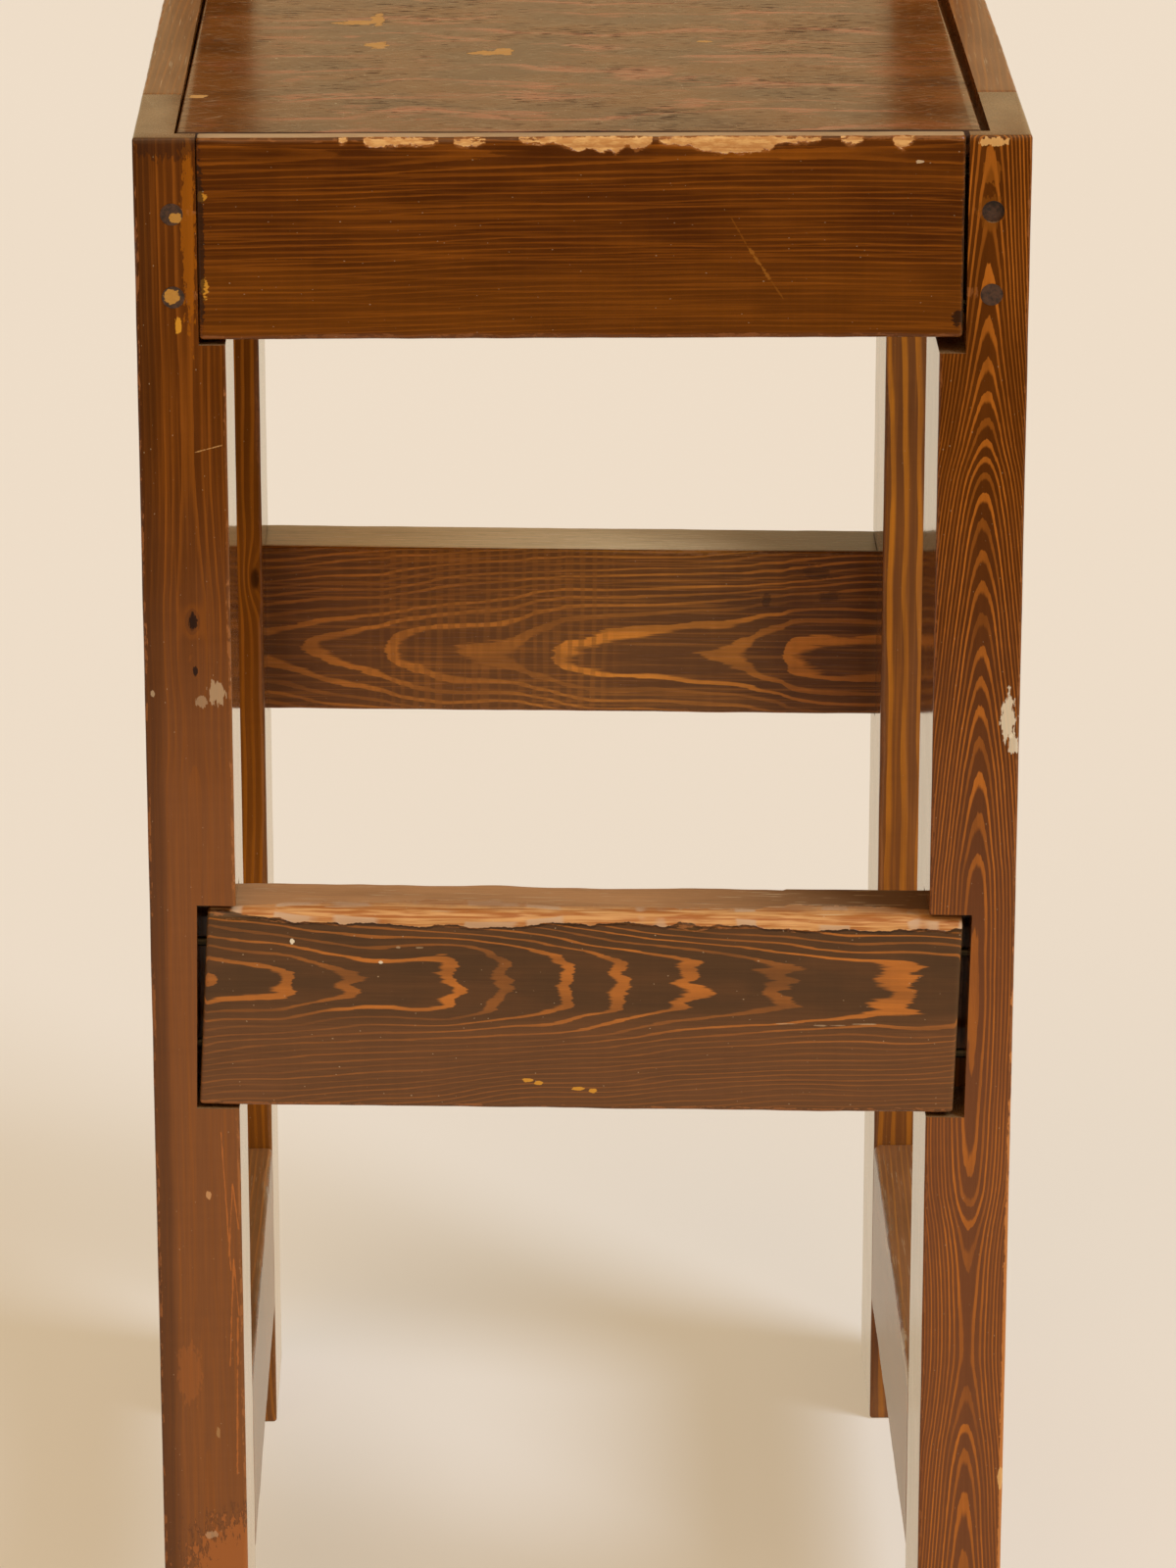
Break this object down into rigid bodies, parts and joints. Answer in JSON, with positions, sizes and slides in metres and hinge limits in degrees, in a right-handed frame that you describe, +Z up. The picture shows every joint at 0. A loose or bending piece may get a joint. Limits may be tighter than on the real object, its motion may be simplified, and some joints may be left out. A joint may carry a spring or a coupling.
{
  "type": "bar stool",
  "caption": "Tall wooden bar stool of straight stained boards with a let-in seat panel, a footrest rail, a back stretcher and a low backrest.",
  "frame": {"origin": "on the floor, under the middle of the stool's overall box", "axes": "+Z up, -Y towards the front, where the sitter's feet are, +X towards the right as seen by someone who faces the front"},
  "size_m": [0.4, 0.478, 1.05],
  "materials": {
    "leg_wood": "dark brown stain under worn gloss varnish, orange grain lines",
    "rail_wood": "dark brown stain under gloss varnish, pale chips along the edges",
    "side_wood": "brown stain under gloss varnish, pale worn edges",
    "seat_ply": "dark red-brown stain under gloss varnish, fissured and chipped",
    "foot_wood": "dark brown stain under gloss varnish, top edge worn to bare wood",
    "plug_wood": "dark stained end grain with ochre filler around it",
    "dowel_wood": "bare",
    "screw_steel": "yellow passivated zinc"
  },
  "bodies": {
    "root": {"front_leg_left": "leg_wood", "front_leg_right": "leg_wood", "back_post_left": "leg_wood", "back_post_right": "leg_wood", "front_seat_rail": "rail_wood", "back_seat_rail": "rail_wood", "side_seat_rail_left": "side_wood", "side_seat_rail_right": "side_wood", "seat_panel": "seat_ply", "footrest_rail": "foot_wood", "back_stretcher": "rail_wood", "lower_side_rail_left": "side_wood", "lower_side_rail_right": "side_wood", "backrest_rail": "rail_wood", "side_rail_front_screws": "screw_steel", "side_rail_back_screws": "screw_steel", "front_rail_screws": "screw_steel", "back_rail_screws": "screw_steel", "footrest_screws": "screw_steel", "stretcher_screws": "screw_steel", "backrest_screws": "screw_steel", "leg_front_plugs": "plug_wood", "post_back_plugs": "plug_wood", "front_rail_plugs": "plug_wood", "back_rail_plugs": "plug_wood", "footrest_plugs": "plug_wood", "stretcher_plugs": "plug_wood", "backrest_plugs": "plug_wood", "lower_rail_front_dowels": "dowel_wood", "lower_rail_back_dowels": "dowel_wood"}
  },
  "joints": []
}
